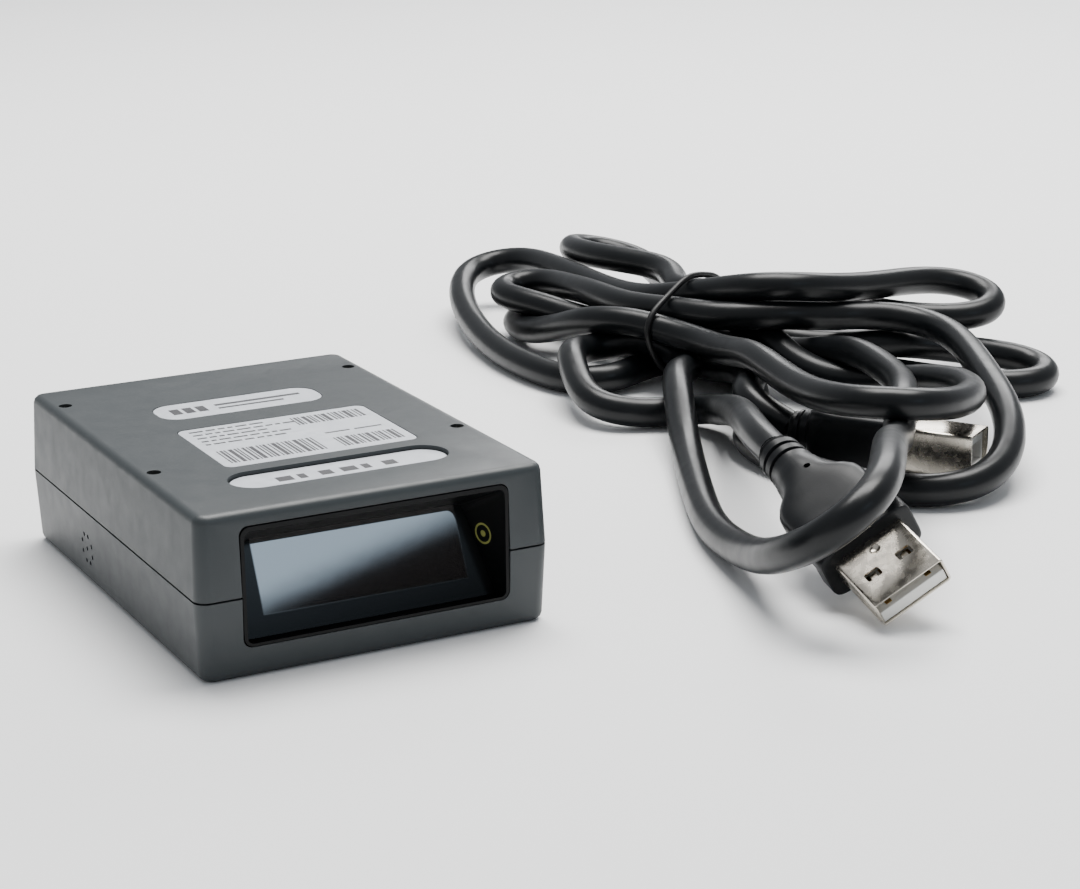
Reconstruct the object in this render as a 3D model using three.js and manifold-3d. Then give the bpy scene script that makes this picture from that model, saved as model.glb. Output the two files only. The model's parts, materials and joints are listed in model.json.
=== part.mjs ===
// Fixed-mount laser scanner module with its USB lead, as separate parts.
// Millimetres. Origin at the middle of the scanner's underside. +Z is up, through the mounting face,
// and the laser window looks along -Y.
import * as THREE from 'three';
import { ConvexGeometry } from 'three/addons/geometries/ConvexGeometry.js';
import { mergeVertices } from 'three/addons/utils/BufferGeometryUtils.js';
import Module from 'manifold-3d';

// ---- Driving dimensions --------------------------------------------------------------------------

const WIDTH = 54;                 // across X, at the parting line
const LENGTH = 75;                // along Y, at the parting line
const HEIGHT = 24;
const SEAM_Z = 11.85;             // height of the parting line
const SEAM_GAP = 0.3;
const DRAFT_INSET = 0.5;          // how far each side leans in, from parting line to top or bottom
const CORNER_RADIUS = 2;
const EDGE_RADIUS = 1.2;
const WALL = 1.8;
const GAP = 0.3;                  // between touching pieces

const OPENING = { halfWidth: 20.55, low: 4.4, high: 21.95, radius: 1.4 };
const LIP = { gap: 0.15, wall: 0.45 };
const PANE = { foot: [-34.2, 4.7], lean: 24.7, halfWidth: 19.6, low: -0.7, high: 14.5, thickness: 1.1 };
const VIEW = { footHalf: 19.4, topHalf: 16.8, top: 13.6 };  // what the hood leaves of the pane
const CLEAR = { halfWidth: 15.8, low: 4.4, high: 13.2 };    // what the black mask leaves of the pane

const MOUNT_HOLES = { x: 24, ys: [26.9, -13.6], radius: 1.05, lip: 0.8, bottom: 15.6 };
const INSERT = { radius: 1.35, bore: 0.85, low: 17, high: 22.9 };
const CASE_SCREWS = { x: 21.5, ys: [31.8, -21.5], postRadius: 2.6, holeRadius: 1.3, length: 15.5 };

const BOARD = { halfWidth: 20, back: 33.5, front: -22.5, low: 3.4, thickness: 1.6 };
const BOARD_TOP = BOARD.low + BOARD.thickness;
const PART_Z = BOARD_TOP + GAP;   // underside of what sits on the main board
const SOCKET = { halfWidth: 6, height: 11, front: 21.3, back: 37.3 };
const BUZZER = { y: 11.3, z: 5.65, radius: 3.5, outerX: -24.4, innerX: -21.2 };
const GRILLE = { ring: 2.3, holeRadius: 0.38, count: 8 };

const PIVOT = [-1.7, -12.3];      // the scan mirror's upright axis
const BEAM_Y = -14;               // the laser barrel's centre line
const OPTIC_Z = 12.6;
const CHASSIS = { halfWidth: 17, front: -24.5, back: -3, low: 6.4, floor: 7.6, top: 17.5, wall: 1.2 };
const ENGINE_BOARD = { halfWidth: 16.5, front: -24, back: -3.5, low: 17.8, thickness: 1 };

// The lead lies folded beside the box, tied at its waist. Routes are centre lines, plug end first.
const CORD = { radius: 2.75, sides: 12 };
const FRONT_LOOP = [[99.9, -22, 14.2], [90, -33, 17.6], [78, -49, 21], [66, -62, 21.2], [58, -63, 17],
  [57, -53, 10.5], [60, -40, 5.5], [65, -21, 3.2], [73, -3, 3.1], [83, 18, 3.1], [90.4, 35.6, 3.1],
  [93.6, 42.4, 3.1]];
const SIDE_LOOP = [[104.2, 37, 3.1], [102.6, 30, 3.1], [100.4, 24, 3.1], [97, 18.5, 3.1],
  [95.4, 13, 3.1], [95.2, 2, 3.1], [97, -9, 3.1], [100.5, -17.5, 3.1], [107, -23.2, 3.3],
  [114, -24.8, 3.8], [121, -22.4, 5], [127, -16.4, 6.8], [132.6, -8.2, 9], [140, 8, 11.6],
  [147.5, 26, 12], [149, 35, 12], [149, 42.6, 12]];
const A_RUN = [[74.55, -23.45, 15.15], [75.4, -15, 16], [80, -2, 15], [87, 11, 12.4], [93.5, 24, 9.2],
  [100.4, 38.9, 8.9]];
const B_RUN = [[101.9, 13.6, 5.7], [100.8, 15.7, 6.2], [100.4, 19.5, 8.6], [102, 25, 9.2],
  [104.5, 31, 9.2], [107, 35.6, 8.9]];
const HANK = [                    // the bundle in layers: heights and outline of each
  { zs: [0, 18], outline: [[86, 47], [112, 34], [134.5, 34], [140, 43.5], [142, 66], [130, 74],
    [131, 88], [100, 88], [88, 71], [80, 65], [78, 56], [80, 49]] },
  { zs: [0, 13], outline: [[84.5, 80], [87, 70], [131, 80], [134, 105], [134, 124], [131, 128],
    [124, 127], [121, 118], [118.5, 132], [115.5, 141], [108.5, 146], [100, 144], [92, 133],
    [87, 118], [85, 100]] },
  { zs: [5, 18.5], outline: [[114, 84], [131, 84], [134, 105], [134.5, 124], [132, 131.5],
    [128, 134], [124, 130], [120, 116]] },
  { zs: [9, 19], outline: [[136, 43.5], [166, 43.5], [171, 46], [173, 51], [171, 56], [165, 58.5],
    [150, 63], [136, 68]] },
  { zs: [0, 8.4], outline: [[130, 40], [146, 33], [153, 25], [160, 22], [168, 25], [170.5, 31],
    [167, 37], [160, 45], [140, 58], [130, 58]] },
  { zs: [12.2, 19.2], outline: [[97, 42], [96.5, 0], [97.5, -13], [100.5, -19.8], [108, -21.5],
    [118, -18], [127, -10], [131.2, 0], [134.5, 12], [134.5, 36]] },
  { zs: [7, 13], outline: [[121, 36], [121, 2], [127, -6], [131.2, 1], [134.5, 12], [134.5, 36]] },
];
const TIE = { centre: [115, 69], turn: 0.4, halfWidth: 14, low: 1.8, high: 17, thickness: 1.2 };
// Each plug is placed by the middle of its mouth, the way out of it and the way its upper side faces.
const USB_A = {
  mouth: [71, -65.65, 5.25], out: [-0.081, -0.971, -0.227], up: [-0.555, -0.145, 0.819],
  shell: [12, 4.5], depth: 12, wall: 0.4, grip: [16, 8.5], gripLength: 22, boot: 3.6, bootLength: 9,
};
const USB_B = {
  mouth: [121, -15.5, 5.7], out: [0.55, -0.835, 0], up: [0, 0, 1],
  shell: [8.45, 7.78], depth: 12, wall: 0.4, grip: [11.5, 10.5], gripLength: 18, boot: 3.6, bootLength: 4,
};

// ---- Materials -----------------------------------------------------------------------------------

const finish = (color, roughness, metalness = 0) =>
  () => new THREE.MeshStandardMaterial({ color, roughness, metalness });
const casing = finish(0x4a4c4d, 0.62);
const blackPlastic = finish(0x0b0c0d, 0.4);
const cordBlack = finish(0x101113, 0.45);
const darkGlass = finish(0x10141a, 0.05);
const silverLabel = finish(0xc9ccd2, 0.38, 0.3);
const brass = finish(0xb8934a, 0.35, 1);
const steel = finish(0x9a9c9e, 0.35, 1);
const nickel = finish(0xb9b2a6, 0.28, 1);
const circuitBoard = finish(0x0f4a2c, 0.5);
const chipBlack = finish(0x17181a, 0.55);
const castZinc = finish(0x8d9094, 0.5, 0.8);
const mirrorGlass = finish(0xe6e9ec, 0.04, 1);
const clearGlass = finish(0xbfd4dc, 0.05);
const redGlass = finish(0x7c1216, 0.1);
const magnetBlack = finish(0x35363a, 0.4, 0.7);
const copper = finish(0xa85a32, 0.4, 0.9);
const whitePlastic = finish(0xdcdad2, 0.5);
const polyimide = finish(0xa9632a, 0.45);

// ---- Solids: cutting, joining and plain shapes ---------------------------------------------------

const wasm = await Module();
wasm.setup();

function toSolid(geometry) {
  const bare = geometry.clone();
  bare.deleteAttribute('normal');
  bare.deleteAttribute('uv');
  const merged = mergeVertices(bare, 1e-4);
  return new wasm.Manifold(new wasm.Mesh({
    numProp: 3,
    vertProperties: new Float32Array(merged.attributes.position.array),
    triVerts: new Uint32Array(merged.index.array),
  }));
}

function toGeometry(solid) {
  const mesh = solid.getMesh();
  const geometry = new THREE.BufferGeometry();
  geometry.setAttribute('position', new THREE.BufferAttribute(mesh.vertProperties, 3));
  geometry.setIndex(new THREE.BufferAttribute(mesh.triVerts, 1));
  return geometry;
}

const cut = (base, tools) =>
  toGeometry(tools.reduce((solid, tool) => solid.subtract(toSolid(tool)), toSolid(base)));
const join = (base, others) =>
  toGeometry(others.reduce((solid, other) => solid.add(toSolid(other)), toSolid(base)));
const common = (a, b) => toGeometry(toSolid(a).intersect(toSolid(b)));

function box([x0, x1], [y0, y1], [z0, z1]) {
  const geometry = new THREE.BoxGeometry(x1 - x0, y1 - y0, z1 - z0);
  return geometry.translate((x0 + x1) / 2, (y0 + y1) / 2, (z0 + z1) / 2);
}

/** A cylinder about a line parallel to axis, from low to high on that axis. centre has 0 for the axis. */
function rod(axis, centre, low, high, radius, sides = 20) {
  const geometry = new THREE.CylinderGeometry(radius, radius, high - low, sides);
  if (axis === 'x') geometry.rotateZ(-Math.PI / 2);
  if (axis === 'z') geometry.rotateX(Math.PI / 2);
  const middle = { x: 0, y: 0, z: 0, [axis]: (low + high) / 2 };
  return geometry.translate(centre[0] + middle.x, centre[1] + middle.y, centre[2] + middle.z);
}

/** An outline with its corners rounded: corners are [x, y], radii go with them. */
function roundedOutline(corners, radii) {
  const shape = new THREE.Shape();
  const point = (i) => new THREE.Vector2(...corners[(i + corners.length) % corners.length]);
  corners.forEach((corner, i) => {
    const here = point(i);
    const from = point(i - 1).sub(here).normalize().multiplyScalar(radii[i]).add(here);
    const to = point(i + 1).sub(here).normalize().multiplyScalar(radii[i]).add(here);
    if (i === 0) shape.moveTo(from.x, from.y);
    else shape.lineTo(from.x, from.y);
    shape.quadraticCurveTo(here.x, here.y, to.x, to.y);
  });
  shape.closePath();
  return shape;
}

function roundedRectangle([x0, x1], [y0, y1], radius) {
  const shape = new THREE.Shape();
  shape.moveTo(x0 + radius, y0);
  shape.lineTo(x1 - radius, y0);
  shape.absarc(x1 - radius, y0 + radius, radius, -Math.PI / 2, 0);
  shape.lineTo(x1, y1 - radius);
  shape.absarc(x1 - radius, y1 - radius, radius, 0, Math.PI / 2);
  shape.lineTo(x0 + radius, y1);
  shape.absarc(x0 + radius, y1 - radius, radius, Math.PI / 2, Math.PI);
  shape.lineTo(x0, y0 + radius);
  shape.absarc(x0 + radius, y0 + radius, radius, Math.PI, Math.PI * 1.5);
  return shape;
}

/** A plate with rounded corners lying flat, from z0 to z1. */
function plate(xs, ys, [z0, z1], radius, curveSegments = 5) {
  const options = { depth: z1 - z0, bevelEnabled: false, curveSegments };
  return new THREE.ExtrudeGeometry(roundedRectangle(xs, ys, radius), options).translate(0, 0, z0);
}

/** A solid of revolution about +Z from [radius, z] points that start and end on the axis. */
const turned = (profile, sides = 18) =>
  new THREE.LatheGeometry(profile.map(([r, z]) => new THREE.Vector2(r, z)), sides).rotateX(Math.PI / 2);

// ---- The assembly --------------------------------------------------------------------------------

const scanner = new THREE.Group();

function add(name, geometry, material, parent = scanner) {
  const mesh = new THREE.Mesh(geometry, material());
  mesh.name = name;
  parent.add(mesh);
  return mesh;
}

/** Calls make(x, y, number) for the four places at x = -x and +x and both ys. */
function fourPlaces({ x, ys }, make) {
  [-x, x].forEach((px, i) => ys.forEach((py, j) => make(px, py, 2 * i + j + 1)));
}

// ---- Casing: two drafted shells that meet at the parting line -------------------------------------

/** Leans the sides in, away from the parting line. */
function drafted(geometry) {
  const { position } = geometry.attributes;
  for (let i = 0; i < position.count; i += 1) {
    const z = position.getZ(i);
    const half = z > SEAM_Z ? HEIGHT - SEAM_Z : SEAM_Z;
    const inset = DRAFT_INSET * Math.abs(z - SEAM_Z) / half;
    position.setX(i, position.getX(i) - Math.sign(position.getX(i)) * inset);
    position.setY(i, position.getY(i) - Math.sign(position.getY(i)) * inset);
  }
  return geometry;
}

const HALVES = {
  upper: [SEAM_Z + SEAM_GAP / 2, HEIGHT],
  lower: [0, SEAM_Z - SEAM_GAP / 2],
};

function outerHalf(name) {
  const [low, high] = HALVES[name];
  const block = new THREE.ExtrudeGeometry(
    roundedRectangle([-WIDTH / 2, WIDTH / 2], [-LENGTH / 2, LENGTH / 2], CORNER_RADIUS),
    { depth: HEIGHT - 2 * EDGE_RADIUS, curveSegments: 5, bevelEnabled: true, bevelSegments: 3,
      bevelThickness: EDGE_RADIUS, bevelSize: EDGE_RADIUS, bevelOffset: -EDGE_RADIUS },
  ).translate(0, 0, EDGE_RADIUS);
  return drafted(common(block, box([-WIDTH, WIDTH], [-LENGTH, LENGTH], [low, high])));
}

/** A rounded block that lies depth inside the parting line's outline. */
const insideBlock = (depth, zs) => plate(
  [depth - WIDTH / 2, WIDTH / 2 - depth], [depth - LENGTH / 2, LENGTH / 2 - depth], zs, CORNER_RADIUS / 2, 3,
);
const cavity = () => insideBlock(WALL, [WALL, HEIGHT - WALL]);

// A lip on the lower shell stands inside a rebate in the upper one, and closes the parting line to light.
const SEAM_LIP = { thickness: 0.8, height: 0.9, clearance: 0.15 };
const lipOuter = WALL - SEAM_LIP.thickness;
const seamLip = () => cut(insideBlock(lipOuter, [HALVES.lower[1] - 1, SEAM_Z + SEAM_LIP.height]),
  [insideBlock(WALL, [0, HEIGHT])]);
const seamRebate = () => insideBlock(lipOuter - SEAM_LIP.clearance,
  [SEAM_Z, SEAM_Z + SEAM_LIP.height + SEAM_LIP.clearance]);

function windowOpening() {
  const { halfWidth, low, high, radius } = OPENING;
  return plate([-halfWidth, halfWidth], [low, high], [0, 3], radius)
    .rotateX(Math.PI / 2).translate(0, WALL - LENGTH / 2, 0);
}

const socketOpening = () =>
  box([-SOCKET.halfWidth - GAP, SOCKET.halfWidth + GAP], [34, 40], [BOARD_TOP, PART_Z + SOCKET.height + GAP]);

function grilleHoles() {
  const hole = (y, z) => rod('x', [0, y, z], -30, -24, GRILLE.holeRadius, 10);
  const ring = Array.from({ length: GRILLE.count }, (_, i) => {
    const angle = (i + 0.5) * 2 * Math.PI / GRILLE.count;
    return hole(BUZZER.y + GRILLE.ring * Math.cos(angle), BUZZER.z + GRILLE.ring * Math.sin(angle));
  });
  return [hole(BUZZER.y, BUZZER.z), ...ring];
}

const NAME_PLATE = { xs: [-13.4, 13.4], ys: [10.6, 19.2], radius: 3.4 };
const DATA_LABEL = { xs: [-14.1, 16.3], ys: [-16.7, 4.6], radius: 1.4 };
const LABEL_THICKNESS = 0.2;
const LABEL_POCKET = 0.25;        // labels lie in shallow pockets, just below the mounting face
const LABEL_ZS = [HEIGHT - LABEL_POCKET, HEIGHT - LABEL_POCKET + LABEL_THICKNESS];
const SLOT = { xs: [-16.6, 17.2], ys: [-28, -19.7], depth: 0.8 };
const SLOT_RADIUS = (SLOT.ys[1] - SLOT.ys[0]) / 2 - 0.01;

function upperShell() {
  const posts = [];
  const holes = [];
  fourPlaces(MOUNT_HOLES, (x, y) => {
    posts.push(rod('z', [x, y, 0], MOUNT_HOLES.bottom - 1, HEIGHT - 1, INSERT.radius + 1.25));
    holes.push(rod('z', [x, y, 0], MOUNT_HOLES.bottom, HEIGHT + 1, MOUNT_HOLES.radius, 20));
    holes.push(rod('z', [x, y, 0], INSERT.low - GAP, HEIGHT - MOUNT_HOLES.lip, INSERT.radius + GAP, 20));
  });
  fourPlaces(CASE_SCREWS, (x, y) => {
    posts.push(rod('z', [x, y, 0], HALVES.upper[0], HEIGHT - 1, CASE_SCREWS.postRadius));
    holes.push(rod('z', [x, y, 0], 5, CASE_SCREWS.length + 2.5, CASE_SCREWS.holeRadius, 16));
  });
  const hollow = cut(outerHalf('upper'), [cavity(), seamRebate()]);
  const posted = common(join(hollow, posts), outerHalf('upper'));
  const slot = plate(SLOT.xs, SLOT.ys, [HEIGHT - SLOT.depth, HEIGHT + 1], SLOT_RADIUS, 6);
  const pockets = [NAME_PLATE, DATA_LABEL].map(({ xs, ys, radius }) => plate(
    [xs[0] - 0.1, xs[1] + 0.1], [ys[0] - 0.1, ys[1] + 0.1], [LABEL_ZS[0], HEIGHT + 1], radius,
  ));
  return cut(posted, [...holes, windowOpening(), socketOpening(), slot, ...pockets]);
}

function lowerShell() {
  const posts = [];
  const holes = [];
  fourPlaces(CASE_SCREWS, (x, y) => {
    posts.push(rod('z', [x, y, 0], 1, HALVES.lower[1], CASE_SCREWS.postRadius));
    holes.push(rod('z', [x, y, 0], -1, HEIGHT / 2, CASE_SCREWS.holeRadius, 16));
    holes.push(rod('z', [x, y, 0], -1, WALL, SCREW.headRadius + GAP, 20));
  });
  BOARD_PADS.forEach(([x, y]) => {
    posts.push(rod('z', [x, y, 0], 1, BOARD.low - GAP, 2.4));
    holes.push(rod('z', [x, y, 0], 0.9, BOARD_TOP, BOARD_SCREW.hole, 14));
  });
  const hollow = join(cut(outerHalf('lower'), [cavity()]), [seamLip()]);
  const posted = join(hollow, posts);
  return cut(posted, [...holes, windowOpening(), socketOpening(), ...grilleHoles()]);
}

// ---- Screws and inserts --------------------------------------------------------------------------

const SCREW = { headRadius: 1.9, headHeight: 1.2, shankRadius: 1 };
const BOARD_SCREW = { headRadius: 1.8, headHeight: 1.1, shankRadius: 0.85, length: 3.6, hole: 1.2 };
const BOARD_PADS = [[15, 28], [-15, -18]];
const ENGINE_SCREWS = [[-11.5, -0.6], [11.5, -0.6]];

/** A cross-head screw that points up +Z, with its head's face at z = 0. */
function screw({ headRadius, headHeight, shankRadius }, length) {
  const blank = turned([
    [0, 0], [headRadius - 0.3, 0], [headRadius, 0.3], [headRadius, headHeight],
    [shankRadius, headHeight], [shankRadius, length - 0.8], [shankRadius - 0.5, length], [0, length],
  ], 12);
  const slotHalf = [-headRadius * 0.55, headRadius * 0.55];
  const thin = [-0.2, 0.2];
  return cut(blank, [box(slotHalf, thin, [-1, 0.55]), box(thin, slotHalf, [-1, 0.55])]);
}

const screwDown = (kind, length) => screw(kind, length).rotateX(Math.PI);

function insert() {
  return cut(rod('z', [0, 0, 0], INSERT.low, INSERT.high, INSERT.radius, 16),
    [rod('z', [0, 0, 0], INSERT.low - 1, INSERT.high + 1, INSERT.bore, 14)]);
}

// ---- Laser window: flared hood, dark pane and the black mask behind it ----------------------------

/** Maps geometry drawn in the pane's own plane (x, up the slope, out of the face) into place. */
function onPane(geometry) {
  const lean = THREE.MathUtils.degToRad(90 - PANE.lean);
  return geometry.rotateX(lean).translate(0, PANE.foot[0], PANE.foot[1]);
}

function funnel() {
  const { halfWidth, low, high } = OPENING;
  const inset = LIP.gap + LIP.wall;
  const mouth = roundedRectangle(
    [inset - halfWidth, halfWidth - inset], [low + inset, high - inset], OPENING.radius - LIP.wall,
  ).getPoints(4).map((p) => new THREE.Vector3(p.x, -LENGTH / 2 - 0.2, p.y));
  const { footHalf, topHalf, top } = VIEW;
  const throat = roundedOutline(
    [[-footHalf, 0], [footHalf, 0], [topHalf, top], [-topHalf, top]], [0.4, 0.4, 1.6, 1.6],
  ).getPoints(4).map((p) => new THREE.Vector3(p.x, p.y, 0));
  const flat = new THREE.BufferGeometry().setFromPoints(throat);
  const { position } = onPane(flat.translate(0, 0, -0.4)).attributes;
  const inner = throat.map((_, i) => new THREE.Vector3().fromBufferAttribute(position, i));
  return new ConvexGeometry([...mouth, ...inner]);
}

function windowHood() {
  const { halfWidth, low, high, radius } = OPENING;
  const wallBack = WALL - LENGTH / 2 + GAP;
  const lip = plate([LIP.gap - halfWidth, halfWidth - LIP.gap], [low + LIP.gap, high - LIP.gap],
    [0, 3], radius).rotateX(Math.PI / 2).translate(0, GAP + 2.8 - LENGTH / 2, 0);
  const body = box([-22.5, 22.5], [wallBack, -26.8], [2.4, HEIGHT - WALL - GAP]);
  const pocket = onPane(box([-PANE.halfWidth - GAP, PANE.halfWidth + GAP],
    [PANE.low - GAP, PANE.high + GAP], [-12, GAP]));
  const frontTrim = box([-30, 30], [-50, 0.2 - LENGTH / 2], [0, 30]);
  return cut(join(body, [lip]), [frontTrim, pocket, funnel()]);
}

function pane() {
  const { halfWidth, low, high, thickness } = PANE;
  return onPane(plate([-halfWidth, halfWidth], [low, high], [-thickness, 0], 0.6, 3));
}

function paneMask() {
  const { halfWidth, low, high } = CLEAR;
  const back = -PANE.thickness - GAP;
  const sheet = plate([-19, 19], [0, 14], [back - GAP, back], 0.6, 3);
  return onPane(cut(sheet, [plate([-halfWidth, halfWidth], [low, high], [back - 1, back + 1], 0.6, 3)]));
}

// ---- Main board and what sits on it ---------------------------------------------------------------

function mainBoard() {
  const holes = [...BOARD_PADS, ...ENGINE_SCREWS]
    .map(([x, y]) => rod('z', [x, y, 0], 0, HEIGHT, BOARD_SCREW.hole, 14));
  fourPlaces(CASE_SCREWS, (x, y) => holes.push(rod('z', [x, y, 0], 0, HEIGHT, CASE_SCREWS.postRadius + 0.4)));
  const { halfWidth, front, back, low } = BOARD;
  return cut(plate([-halfWidth, halfWidth], [front, back], [low, BOARD_TOP], 1, 3), holes);
}

function usbSocketShell() {
  const { halfWidth, height, front, back } = SOCKET;
  const skin = 0.5;
  const bayHeights = [PART_Z + skin, PART_Z + height - skin];
  const bay = box([skin - halfWidth, halfWidth - skin], [front + skin, back + 1], bayHeights);
  return cut(box([-halfWidth, halfWidth], [front, back], [PART_Z, PART_Z + height]), [bay]);
}

function usbSocketInsert() {
  const middle = PART_Z + SOCKET.height / 2;
  const body = box([-5.2, 5.2], [22.1, 36.9], [middle - 4.7, middle + 4.7]);
  const bay = box([-4.5, 4.5], [27.9, 38], [middle - 4.15, middle + 4.15]);
  const tongue = box([-2.7, 2.7], [27, 36.3], [middle - 1.6, middle + 1.6]);
  return join(cut(body, [bay]), [tongue]);
}

function buzzer() {
  const { y, z, radius, outerX, innerX } = BUZZER;
  const soundHole = rod('x', [0, y, z], outerX - 1, outerX + 1, 0.9, 14);
  return cut(rod('x', [0, y, z], outerX, innerX, radius), [soundHole]);
}

const chip = ([x, y], [width, depth, height], z = PART_Z) =>
  box([x - width / 2, x + width / 2], [y - depth / 2, y + depth / 2], [z, z + height]);

function capacitor([x, y]) {
  return turned([[0, 0], [2.5, 0], [2.5, 0.9], [2.3, 1.1], [2.5, 1.3], [2.5, 6.8], [2.2, 7.1], [0, 7.1]], 18)
    .translate(x, y, PART_Z);
}

const RIBBON = { halfWidth: 4, thickness: 0.3 };

function ribbon() {
  const path = new THREE.CatmullRomCurve3([
    [-5.6, 20.2], [-2.5, 20.3], [0.4, 18], [0.6, 13.5], [0.4, 9], [1.8, 6.4], [3.4, 6.2],
  ].map(([y, z]) => new THREE.Vector3(0, y, z)));
  const steps = 18;
  const side = (sign) => Array.from({ length: steps + 1 }, (_, i) => {
    const p = path.getPointAt(i / steps);
    const t = path.getTangentAt(i / steps);
    const half = sign * RIBBON.thickness / 2;
    return new THREE.Vector2(p.y - t.z * half, p.z + t.y * half);
  });
  const outline = new THREE.Shape([...side(1), ...side(-1).reverse()]);
  const strip = new THREE.ExtrudeGeometry(outline, { depth: 2 * RIBBON.halfWidth, bevelEnabled: false });
  // The outline is drawn as (y, z) and pushed along x.
  strip.rotateX(Math.PI / 2).rotateZ(Math.PI / 2);
  return strip.translate(-RIBBON.halfWidth, 0, 0);
}

// ---- Laser engine: chassis, laser, swinging mirror, drive and light collector ---------------------

const turnToMirror = -Math.PI / 4;   // the mirror's face looks half way between the laser and the window

function mirrorFrame(geometry) {
  return geometry.rotateZ(turnToMirror).translate(PIVOT[0], PIVOT[1], 0);
}

function engineChassis() {
  const { halfWidth, front, back, low, floor, top, wall } = CHASSIS;
  const base = box([-halfWidth, halfWidth], [front, back], [low, floor]);
  const walls = [
    box([-halfWidth, wall - halfWidth], [front, back], [low, top]),
    box([halfWidth - wall, halfWidth], [front, back], [low, top]),
    box([-halfWidth, halfWidth], [back - wall, back], [low, top]),
    box([-halfWidth, -5.4], [-21, -19.8], [low, top]),
    box([-12.5, -8.5], [-14.4, -13.2], [low, 14]),
    box([7, 12], [BEAM_Y - 2, BEAM_Y + 2], [low, OPTIC_Z - LASER.barrelRadius - GAP]),
    mirrorFrame(box([-9.7, -8.9], [-3.2, 3.2], [low, 16])),
    rod('z', [...PIVOT, 0], low, 8.9, 2.2),
  ];
  const ears = ENGINE_SCREWS.flatMap(([x, y]) => [
    box([x - 2.6, x + 2.6], [back - 1, y + 2.4], [low, floor]),
    rod('z', [x, y, 0], PART_Z, low + 0.2, 2),
  ]);
  const feet = [[-14.5, -22], [14.5, -22]].map(([x, y]) =>
    box([x - 1.3, x + 1.3], [y - 1.3, y + 1.3], [PART_Z, low + 0.2]));
  const holes = [
    rod('z', [...PIVOT, 0], 0, HEIGHT, MIRROR.bore, 16),
    rod('y', [LIGHT_X, 0, OPTIC_Z], -25, -19, 3.2),
    ...ENGINE_SCREWS.map(([x, y]) => rod('z', [x, y, 0], 0, HEIGHT, BOARD_SCREW.hole, 14)),
  ];
  return cut(join(base, [...walls, ...ears, ...feet]), holes);
}

const LASER = { barrelRadius: 3, boreRadius: 2.3, front: 5.6, back: 13 };
const MIRROR = { bore: 1.05, post: 0.75 };
const LIGHT_X = -10.5;

function laserBarrel() {
  const { barrelRadius, boreRadius, front, back } = LASER;
  return cut(rod('x', [0, BEAM_Y, OPTIC_Z], front, back, barrelRadius),
    [rod('x', [0, BEAM_Y, OPTIC_Z], front + 0.8, back + 1, boreRadius),
      rod('x', [0, BEAM_Y, OPTIC_Z], front - 1, front + 1, 1.1, 16)]);
}

/** Turned about +Z, then laid along +X on the laser's centre line. */
const onBeam = (geometry, x) => geometry.rotateY(Math.PI / 2).translate(x, BEAM_Y, OPTIC_Z);

const laserDiode = () => onBeam(
  turned([[0, 0], [1.5, 0], [1.6, 0.1], [1.6, 1.8], [2, 1.8], [2, 2.8], [0, 2.8]], 20), 11.6);

const lens = (radius, edge, bulge) => turned([
  [0, 0], [radius * 0.5, bulge * 0.25], [radius * 0.85, bulge * 0.72], [radius, bulge],
  [radius, bulge + edge],
  [radius * 0.85, bulge + edge + bulge * 0.28], [radius * 0.5, bulge + edge + bulge * 0.75],
  [0, 2 * bulge + edge],
], 16);

function mirrorCarrier() {
  const body = box([-1.7, 1.2], [-3.2, 3.2], [9.2, 16]);
  return mirrorFrame(cut(body, [rod('z', [0, 0, 0], 8, 18, MIRROR.bore, 16)]));
}

const scanMirror = () => mirrorFrame(box([1.5, 2.4], [-4, 4], [9.4, 15.8]));
const driveMagnet = () => mirrorFrame(box([-4.4, -2], [-1.6, 1.6], [OPTIC_Z - 1.6, OPTIC_Z + 1.6]));

function driveCoil() {
  return mirrorFrame(cut(rod('x', [0, 0, OPTIC_Z], -7.6, -5.3, 3.2),
    [rod('x', [0, 0, OPTIC_Z], -9, -4, 1.5, 16)]));
}

const coilCore = () => mirrorFrame(join(rod('x', [0, 0, OPTIC_Z], -8.5, -5.3, 1.15, 16),
  [rod('x', [0, 0, OPTIC_Z], -8.6, -7.9, 2.6, 20)]));

// ---- The lead ----------------------------------------------------------------------------------

function tube(route) {
  const path = new THREE.CatmullRomCurve3(route.map((p) => new THREE.Vector3(...p)), false, 'centripetal');
  const section = new THREE.Shape();
  for (let i = 0; i < CORD.sides; i++) {
    const turn = (2 * Math.PI * i) / CORD.sides;
    section[i ? 'lineTo' : 'moveTo'](CORD.radius * Math.cos(turn), CORD.radius * Math.sin(turn));
  }
  const steps = Math.ceil(path.getLength() / (2.4 * CORD.radius));
  return toGeometry(toSolid(
    new THREE.ExtrudeGeometry(section, { steps, extrudePath: path, bevelEnabled: false })));
}

function block({ outline, zs: [low, high] }) {
  const shape = new THREE.Shape(outline.map(([x, y]) => new THREE.Vector2(x, y)));
  return new THREE.ExtrudeGeometry(shape, { depth: high - low, bevelEnabled: false }).translate(0, 0, low);
}

const atTie = (geometry) => geometry.rotateZ(TIE.turn).translate(...TIE.centre, 0);

// A frame round the bundle's waist: `grow` outwards from the bundle, `half` each way along it.
function waistFrame(from, to, half) {
  const frame = (grow, depth) => box([-TIE.halfWidth - grow, TIE.halfWidth + grow], [-depth, depth],
    [TIE.low - grow, TIE.high + grow]);
  return atTie(cut(frame(to, half), [frame(from, half + 1)]));
}

function leadHank() {
  const [first, ...others] = HANK.map(block);
  return cut(join(first, others), [waistFrame(0, TIE.low + 1.2, 1.5)]);
}

const leadTie = () => waistFrame(GAP, GAP + TIE.thickness, TIE.thickness / 2);

// Turns a piece drawn in a plug's own axes into its place on the table.
function onPlug({ mouth, out, up }, geometry) {
  const y = new THREE.Vector3(...out).normalize();
  const x = y.clone().cross(new THREE.Vector3(...up)).normalize();
  const place = new THREE.Matrix4().makeBasis(x, y, x.clone().cross(y)).setPosition(...mouth);
  return geometry.applyMatrix4(place);
}

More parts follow.
